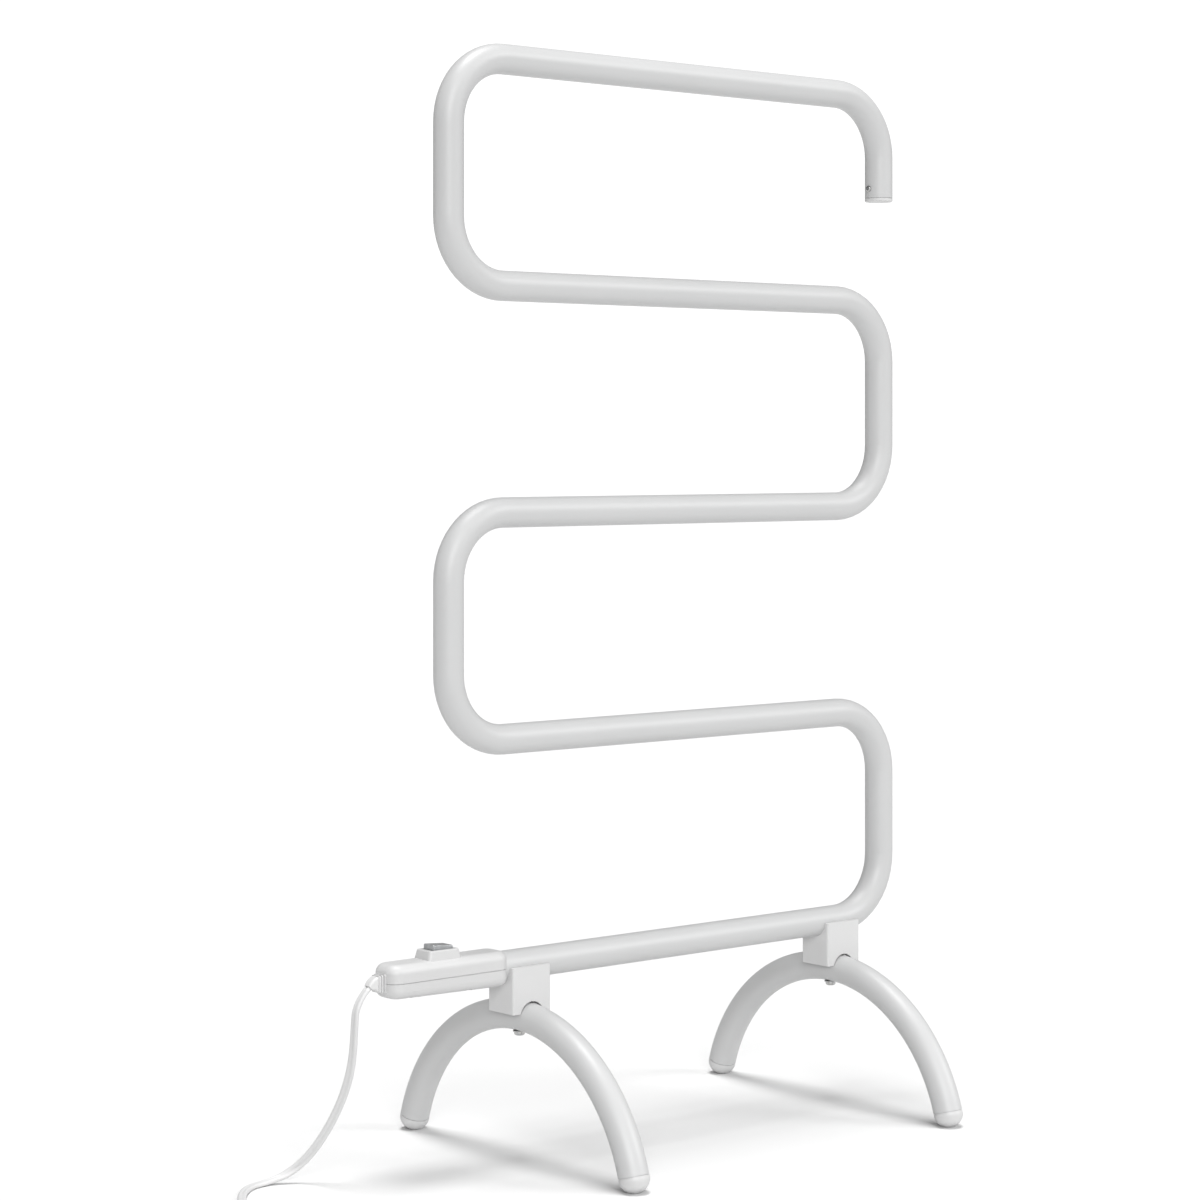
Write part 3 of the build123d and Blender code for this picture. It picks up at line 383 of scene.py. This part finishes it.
# %% Coil tie
TIE_ANGLE = math.radians(20.0)
TIE_HALF = (7.1 * MM, 7.55 * MM)
TIE_MIDDLE = (38.2 * MM, 8.05 * MM)
STRIP_HALF = (2.0 * MM, 0.25 * MM)
WIRE_RIDGE = 0.3 * MM
WIRE_HALF = 0.5 * MM
TAIL_HALF = (1.3 * MM, 0.55 * MM)
TAIL_REACH = 11.0 * MM
TAIL_RISE = 3.0 * MM
TAIL_TURNS = 3
tie_out = np.array([math.cos(TIE_ANGLE), math.sin(TIE_ANGLE), 0.0])
tie_side = np.array([-math.sin(TIE_ANGLE), math.cos(TIE_ANGLE), 0.0])
UP = np.array([0.0, 0.0, 1.0])
tie_centre = np.array([*COIL_CENTRE, 0.0]) + TIE_MIDDLE[0] * tie_out + TIE_MIDDLE[1] * UP


def tie_strip_section():
    """A strip 4 mm wide and 0.5 mm thick, with the wire as a ridge: thickness plus
    0.3 mm * exp(-(u / 0.5 mm)^2) on the outer side."""
    angle = np.linspace(0, 2 * math.pi, 24, endpoint=False)
    u = STRIP_HALF[0] * np.sign(np.cos(angle)) * np.abs(np.cos(angle)) ** 0.4
    v = STRIP_HALF[1] * np.sign(np.sin(angle)) * np.abs(np.sin(angle)) ** 0.4
    ridge = np.where(v < 0, -WIRE_RIDGE * np.exp(-((u / WIRE_HALF) ** 2)), 0.0)
    return np.stack([u, v + ridge], -1)


def tie_loop():
    """The strip round the coil's section: a superellipse with exponent 4, squared off."""
    angle = np.linspace(0, 2 * math.pi, 72, endpoint=False)
    out = TIE_HALF[0] * np.sign(np.cos(angle)) * np.abs(np.cos(angle)) ** 0.5
    up = TIE_HALF[1] * np.sign(np.sin(angle)) * np.abs(np.sin(angle)) ** 0.5
    path = tie_centre + out[:, None] * tie_out + up[:, None] * UP
    wide = np.tile(tie_side, (len(path), 1))
    return carried(path, wide, tie_strip_section(), ring=True)


def tie_tail():
    """The twisted ends: an oval that makes its turns on its way out, up and to one side."""
    share = np.linspace(0, 1, 60)[:, None]
    start = tie_centre + (TIE_HALF[0] - 0.4 * MM) * tie_out + 2.0 * MM * UP
    path = start + share * TAIL_REACH * tie_out + share**2 * TAIL_RISE * (UP + tie_side)
    spin = 2 * math.pi * TAIL_TURNS * share
    wide = np.cos(spin) * tie_side + np.sin(spin) * UP
    rows = np.ones(len(share))
    oval = superellipse(TAIL_HALF[0] * rows, TAIL_HALF[1] * rows, 2.2 * rows, 20)
    return carried(path, wide, oval)


tie = piece_from_grid("coil_tie_strip", tie_loop(), ring=True)
tie_ends = piece_from_grid("coil_tie_twist", tie_tail())

# %% [markdown]
# ## What stands for what
# Each new piece rides on the body whose CAD solid it stands for, and that solid is hidden.

# %% Ride, replace and give each its slot
for piece, slot in (
    (supply_cord, "cord_pvc"),
    (plug, "cord_pvc"),
    (tie, "tie_plastic"),
    (tie_ends, "tie_plastic"),
):
    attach(piece, "rack")
    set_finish(piece, slot)
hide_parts("supply_cord", "supply_cord_coil", "supply_cord_end")
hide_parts("plug_body")
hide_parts("coil_tie")
print("replaced:", sorted(n for n, o in frame["nodes"].items() if o.hide_render))

# %% [markdown]
# ## Shader maths as Python
# A finish is a small graph of nodes. Wiring each node by hand hides the idea, so a socket is
# wrapped in a class whose operators add the Math nodes, and one method adds any other node:
# its type, its settings, then the values or links of its sockets.


# %% Sockets that do arithmetic
class Signal:
    """An output socket of a finish's node tree, as a number in an expression."""

    def __init__(self, finish, socket):
        self.finish = finish
        self.socket = socket

    def _math(self, operation, first, second):
        return self.finish.node("ShaderNodeMath", {"operation": operation}, {0: first, 1: second})

    def __add__(self, other):
        return self._math("ADD", self, other)

    def __mul__(self, other):
        return self._math("MULTIPLY", self, other)

    __radd__ = __add__
    __rmul__ = __mul__


class Finish:
    """A material under construction."""

    def __init__(self, name, constants):
        self.material = bpy.data.materials.new(name)
        self.material.use_nodes = True
        self.tree = self.material.node_tree
        self.shader = self.tree.nodes["Principled BSDF"]
        for socket, value in constants.items():
            self.shader.inputs[socket].default_value = value
        self.place = self.node("ShaderNodeTexCoord", output="Object")

    def node(self, kind, settings=None, inputs=None, output=0):
        """Add one node: settings first, then socket values or links; gives one output."""
        made = self.tree.nodes.new(kind)
        for key, value in (settings or {}).items():
            setattr(made, key, value)
        for key, value in (inputs or {}).items():
            self.feed(made.inputs[key], value)
        return Signal(self, made.outputs[output])

    def feed(self, socket, value):
        if isinstance(value, Signal):
            self.tree.links.new(value.socket, socket)
        else:
            socket.default_value = value

    def noise(self, scale, detail=2.0, roughness=0.5):
        """Soft random patches, 1 / scale metres across, from 0 to 1."""
        return self.node(
            "ShaderNodeTexNoise",
            {"noise_dimensions": "3D"},
            {"Vector": self.place, "Scale": scale, "Detail": detail, "Roughness": roughness},
        )

    def blend(self, factor, first, second):
        """A colour between two others."""
        return self.node(
            "ShaderNodeMix",
            {"data_type": "RGBA"},
            {0: factor, 6: (*first, 1.0), 7: (*second, 1.0)},
            output=2,
        )

    def relief(self, height, depth):
        """Tilt the surface as if it rose and fell by depth metres."""
        bump = self.node(
            "ShaderNodeBump", None, {"Height": height, "Distance": depth, "Strength": 1.0}
        )
        self.feed(self.shader.inputs["Normal"], bump)

    def set(self, socket, value):
        self.feed(self.shader.inputs[socket], value)


# %% [markdown]
# ## Powder coat
# The tubes are sprayed with a dry white powder that melts in an oven. It flows almost flat
# and leaves a faint orange peel, waves a millimetre or two across and some hundredths of a
# millimetre high, with a satin gloss that varies a little. A flat white would look like
# paper, so the waves go to the bump, and slow noise moves the gloss and the tone.


# %% Powder coat
def powder_coat():
    finish = Finish("white_powder_coat", {"IOR": 1.5})
    waves = finish.noise(620.0, 3.0, 0.45)
    dust = finish.noise(4200.0, 1.0)
    patches = finish.noise(9.0, 3.0)
    finish.set("Base Color", finish.blend(patches, (0.460, 0.462, 0.463), (0.490, 0.492, 0.493)))
    finish.set("Roughness", 0.37 + 0.08 * patches + 0.05 * dust)
    finish.relief(waves + 0.12 * dust, 0.00003)
    return finish.material


# %% [markdown]
# ## Moulded plastic
# A steel mould is eroded by sparks to a fine grain, which the plastic copies. The blocks
# have a coarser grain than the box and the caps, and the black switch body a matt one. One
# function makes them all from a colour, a gloss, and the grain's size and depth.


# %% Moulded plastics
def moulded(name, dark, light, roughness, grain_scale, grain_depth):
    finish = Finish(name, {"IOR": 1.5})
    grain = finish.noise(grain_scale, 2.0, 0.6)
    flow = finish.noise(24.0, 2.0)
    finish.set("Base Color", finish.blend(flow, dark, light))
    finish.set("Roughness", roughness + 0.06 * flow + 0.06 * grain)
    finish.relief(grain + 0.4 * flow, grain_depth)
    return finish.material


# %% [markdown]
# ## Metals
# The screws are steel under bright zinc, whose passivation tints it slightly from blue to
# straw. The blades and contacts are brass. Both are drawn or rolled, which leaves short
# scratches, so the roughness follows a noise that is stretched along one axis.


# %% Plated and bare metals
def bright_metal(name, cool, warm, roughness, stretch=(1.0, 1.0, 12.0)):
    finish = Finish(name, {"Metallic": 1.0})
    stretched = finish.node(
        "ShaderNodeMapping", None, {"Vector": finish.place, "Scale": stretch}
    )
    scratches = finish.node(
        "ShaderNodeTexNoise", None, {"Vector": stretched, "Scale": 900.0, "Detail": 3.0}
    )
    tint = finish.noise(260.0, 2.0)
    finish.set("Base Color", finish.blend(tint, cool, warm))
    finish.set("Roughness", roughness + 0.16 * scratches)
    finish.relief(scratches, 0.000006)
    return finish.material


# %% [markdown]
# ## Clear parts
# The rocker is a smoke-grey lens over a small neon lamp. It lets some light through and
# scatters the rest, so it is part transmission and part grey. The lamp is thin glass.


# %% Lens and glass
def clear(name, dark, light, transmission, roughness, ior):
    finish = Finish(name, {"Transmission Weight": transmission, "IOR": ior, "Coat Weight": 0.3})
    haze = finish.noise(180.0, 2.0)
    finish.set("Base Color", finish.blend(haze, dark, light))
    finish.set("Roughness", roughness + 0.08 * haze)
    finish.relief(haze, 0.00002)
    return finish.material


# %% [markdown]
# ## Every part gets its finish
# Each CAD node names a material slot, which says what it is made of. One table gives each
# slot its finish, so parts of the same stuff share one material. Painting part by part would
# repeat the same values, and they would drift apart.

# %% Give each slot its finish
FINISHES = {
    "powder_coated_tube": powder_coat(),
    "cap_plastic": moulded("cap_plastic_white", (0.52,) * 3, (0.55,) * 3, 0.38, 2200.0, 0.000008),
    "block_plastic": moulded("block_plastic_white", (0.535,) * 3, (0.565,) * 3, 0.42, 1700.0, 0.00002),
    "box_plastic": moulded("box_plastic_white", (0.50,) * 3, (0.53,) * 3, 0.42, 2000.0, 0.000008),
    "zinc_steel": bright_metal("bright_zinc", (0.42, 0.44, 0.47), (0.50, 0.48, 0.44), 0.18),
    "spring_steel": bright_metal("spring_wire", (0.50, 0.50, 0.52), (0.58, 0.57, 0.55), 0.22),
    "rocker_lens": clear("smoke_grey_lens", (0.30, 0.31, 0.32), (0.62, 0.63, 0.64), 0.45, 0.05, 1.49),
    "switch_plastic": moulded("black_switch_body", (0.02,) * 3, (0.035,) * 3, 0.45, 1500.0, 0.00002),
    "contact_brass": bright_metal("rolled_brass", (0.72, 0.56, 0.30), (0.80, 0.65, 0.38), 0.2),
    "lamp_glass": clear("lamp_glass_clear", (0.92, 0.86, 0.80), (0.97, 0.93, 0.88), 0.95, 0.03, 1.5),
    "silicone": moulded("silicone_rubber", (0.50, 0.48, 0.44), (0.58, 0.56, 0.52), 0.6, 1300.0, 0.00002),
    "cord_pvc": moulded("white_pvc", (0.56,) * 3, (0.59,) * 3, 0.36, 1500.0, 0.000012),
    "tie_plastic": moulded("paper_tie", (0.66, 0.66, 0.64), (0.74, 0.74, 0.72), 0.62, 2600.0, 0.00003),
    "fuse_case": bright_metal("fuse_case_metal", (0.66, 0.67, 0.68), (0.74, 0.74, 0.74), 0.3),
    "crimp_nylon": moulded(
        "crimp_nylon_ivory", (0.70, 0.69, 0.62), (0.76, 0.75, 0.69), 0.5, 1600.0, 0.00001
    ),
}
node_slots = {part["node"]: part["material_slot"] for part in frame["record"]["subparts"]}
for name, node in frame["nodes"].items():
    node.material_slots[0].material = FINISHES[node_slots[name]]
for piece in (supply_cord, plug, tie, tie_ends):
    piece.data.materials.append(FINISHES[piece["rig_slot"]])
print("finishes:", len(FINISHES), "nodes painted:", len(frame["nodes"]))

# %% [markdown]
# ## The room
# The rack stands on a plain white floor in an even room. A wide lamp straight above lays
# soft shadows on the floor right under the tubes. A round bar shows a lamp as a pale line,
# and only where its side faces half way between the lamp and the eye: the front lamp draws
# the lines on the uprights, and the right one those on the bars. A lamp's width is how wide
# it looks from the object: wider is softer. The room lights the rack dimly and evenly, but
# is itself seen as white.

# %% Floor
FLOOR_REACH = 40.0
corners = FLOOR_REACH * np.array([[-1, -1, 0], [1, -1, 0], [1, 1, 0], [-1, 1, 0]], float)
floor_mesh = bpy.data.meshes.new("floor")
floor_mesh.from_pydata(corners.tolist(), [], [(0, 1, 2, 3)])
floor = bpy.data.objects.new("floor", floor_mesh)
bpy.context.scene.collection.objects.link(floor)
floor_finish = Finish("plain_floor", {"Roughness": 0.9, "Specular IOR Level": 0.0})
floor_finish.set("Base Color", floor_finish.blend(floor_finish.noise(0.7), (0.68,) * 3, (0.70,) * 3))
floor_mesh.materials.append(floor_finish.material)

# %% World and lamps
ROOM_LIGHT = 0.25
ROOM_SEEN = 1.1

world = bpy.data.worlds.new("white_room")
world.use_nodes = True
room_nodes = world.node_tree.nodes
room_links = world.node_tree.links
room_strength = room_nodes.new("ShaderNodeMapRange")
room_strength.inputs["To Min"].default_value = ROOM_LIGHT
room_strength.inputs["To Max"].default_value = ROOM_SEEN
seen = room_nodes.new("ShaderNodeLightPath").outputs["Is Camera Ray"]
room_links.new(seen, room_strength.inputs["Value"])
room_nodes["Background"].inputs["Color"].default_value = (1.0, 1.0, 1.0, 1.0)
room_links.new(room_strength.outputs["Result"], room_nodes["Background"].inputs["Strength"])
bpy.context.scene.world = world
bpy.context.scene.view_settings.view_transform = "Standard"


def far_lamp(name, heading, height, width, strength):
    """A lamp far away: its compass heading and height above the horizon in degrees, how wide
    it looks in degrees, and its light on a surface that faces it, in watts a square metre."""
    data = bpy.data.lights.new(name, "SUN")
    data.angle = math.radians(width)
    data.energy = strength
    lamp = bpy.data.objects.new(name, data)
    lamp.rotation_euler = (math.radians(90 - height), 0.0, math.radians(heading))
    bpy.context.scene.collection.objects.link(lamp)


far_lamp("overhead", heading=0.0, height=90.0, width=24.0, strength=2.83)
far_lamp("front", heading=-35.0, height=22.0, width=32.0, strength=1.95)
far_lamp("right", heading=40.0, height=28.0, width=24.0, strength=1.1)
